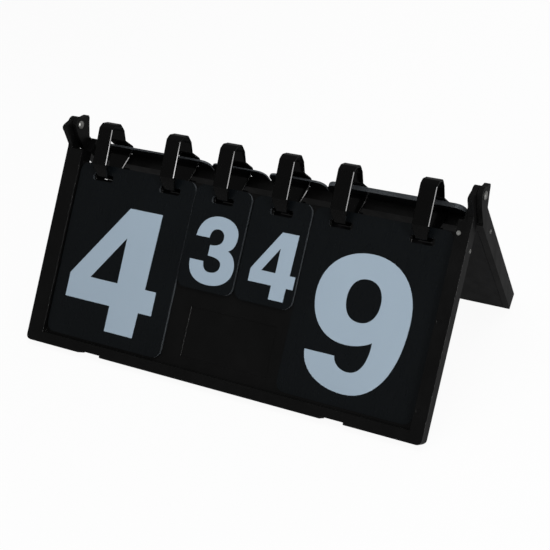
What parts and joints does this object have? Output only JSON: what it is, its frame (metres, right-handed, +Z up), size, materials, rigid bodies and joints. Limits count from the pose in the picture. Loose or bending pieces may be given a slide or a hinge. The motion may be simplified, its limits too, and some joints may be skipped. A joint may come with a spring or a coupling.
{
  "type": "flip scoreboard",
  "caption": "Folding table-top flip scoreboard: two hinged boards standing as a tent, with number cards that turn over hoops.",
  "frame": {"origin": "middle of the footprint on the table, straight below the hinge pins", "axes": "+X along the hinge to the viewer's right, front board towards -Y, +Z up"},
  "size_m": [0.3898, 0.2324, 0.1762],
  "materials": {
    "black_moulding": "smooth moulded plastic, half gloss",
    "black_band": "glossy",
    "card_black": "satin sheet with pale printed numbers",
    "pale_metal": "dull"
  },
  "bodies": {
    "front": {"front_board": "black_moulding", "front_back_plate": "black_moulding", "front_face_stud": "pale_metal", "front_side_stud": "pale_metal", "front_left_stud": "pale_metal", "hinge_pin_left": "pale_metal", "hinge_pin_right": "pale_metal", "hoop_1": "black_band", "hoop_2": "black_band", "hoop_3": "black_band", "hoop_4": "black_band", "hoop_5": "black_band", "hoop_6": "black_band", "left_score_card_0": "card_black", "left_score_card_1": "card_black", "left_score_card_2": "card_black", "left_score_card_3": "card_black", "left_score_card_4": "card_black", "left_set_card_0": "card_black", "left_set_card_1": "card_black", "left_set_card_2": "card_black", "left_set_card_3": "card_black", "left_set_card_4": "card_black", "left_set_card_5": "card_black", "right_set_card_0": "card_black", "right_set_card_1": "card_black", "right_set_card_2": "card_black", "right_set_card_3": "card_black", "right_set_card_4": "card_black"},
    "rear": {"rear_board": "black_moulding", "rear_back_plate": "black_moulding", "rear_face_stud": "pale_metal", "rear_left_stud": "pale_metal", "rear_side_stud": "pale_metal"},
    "left_score_shown_card": {"left_score_card_5": "card_black"},
    "left_score_turned_cards": {"left_score_card_6": "card_black", "left_score_card_7": "card_black", "left_score_card_8": "card_black", "left_score_card_9": "card_black"},
    "left_set_shown_card": {"left_set_card_6": "card_black"},
    "left_set_turned_cards": {"left_set_card_7": "card_black", "left_set_card_8": "card_black", "left_set_card_9": "card_black"},
    "right_set_shown_card": {"right_set_card_5": "card_black"},
    "right_set_turned_cards": {"right_set_card_6": "card_black", "right_set_card_7": "card_black", "right_set_card_8": "card_black", "right_set_card_9": "card_black"},
    "right_score_shown_card": {"right_score_card_0": "card_black"},
    "right_score_turned_cards": {"right_score_card_1": "card_black", "right_score_card_2": "card_black", "right_score_card_3": "card_black", "right_score_card_4": "card_black", "right_score_card_5": "card_black", "right_score_card_6": "card_black", "right_score_card_7": "card_black", "right_score_card_8": "card_black", "right_score_card_9": "card_black"}
  },
  "joints": [
    {"name": "fold", "type": "hinge", "parent": "front", "child": "rear", "pos_m": [0, 0, 0.16931], "axis": [1, 0, 0], "range_deg": [0, 24]},
    {"name": "left_score_flip", "type": "hinge", "parent": "front", "child": "left_score_shown_card", "pos_m": [-0.116, -0.00994, 0.14031], "axis": [-1, 0, 0], "range_deg": [0, 90]},
    {"name": "left_score_turned_swing", "type": "hinge", "parent": "front", "child": "left_score_turned_cards", "pos_m": [-0.116, 0.006, 0.14731], "axis": [1, 0, 0], "range_deg": [0, 72]},
    {"name": "left_set_flip", "type": "hinge", "parent": "front", "child": "left_set_shown_card", "pos_m": [-0.028, -0.00913, 0.13973], "axis": [-1, 0, 0], "range_deg": [0, 84]},
    {"name": "left_set_turned_swing", "type": "hinge", "parent": "front", "child": "left_set_turned_cards", "pos_m": [-0.028, 0.006, 0.14731], "axis": [1, 0, 0], "range_deg": [0, 72]},
    {"name": "right_set_flip", "type": "hinge", "parent": "front", "child": "right_set_shown_card", "pos_m": [0.028, -0.00994, 0.14031], "axis": [-1, 0, 0], "range_deg": [0, 90]},
    {"name": "right_set_turned_swing", "type": "hinge", "parent": "front", "child": "right_set_turned_cards", "pos_m": [0.028, 0.006, 0.14731], "axis": [1, 0, 0], "range_deg": [0, 72]},
    {"name": "right_score_flip", "type": "hinge", "parent": "front", "child": "right_score_shown_card", "pos_m": [0.116, -0.01016, 0.14171], "axis": [-1, 0, 0], "range_deg": [0, 110]},
    {"name": "right_score_turned_swing", "type": "hinge", "parent": "front", "child": "right_score_turned_cards", "pos_m": [0.116, 0.009, 0.14631], "axis": [1, 0, 0], "range_deg": [0, 96]}
  ],
  "couplings": [
    {"joint": "left_score_turned_swing", "follows": "fold", "ratio": 3},
    {"joint": "left_set_turned_swing", "follows": "fold", "ratio": 3},
    {"joint": "right_set_turned_swing", "follows": "fold", "ratio": 3},
    {"joint": "right_score_turned_swing", "follows": "fold", "ratio": 4}
  ]
}
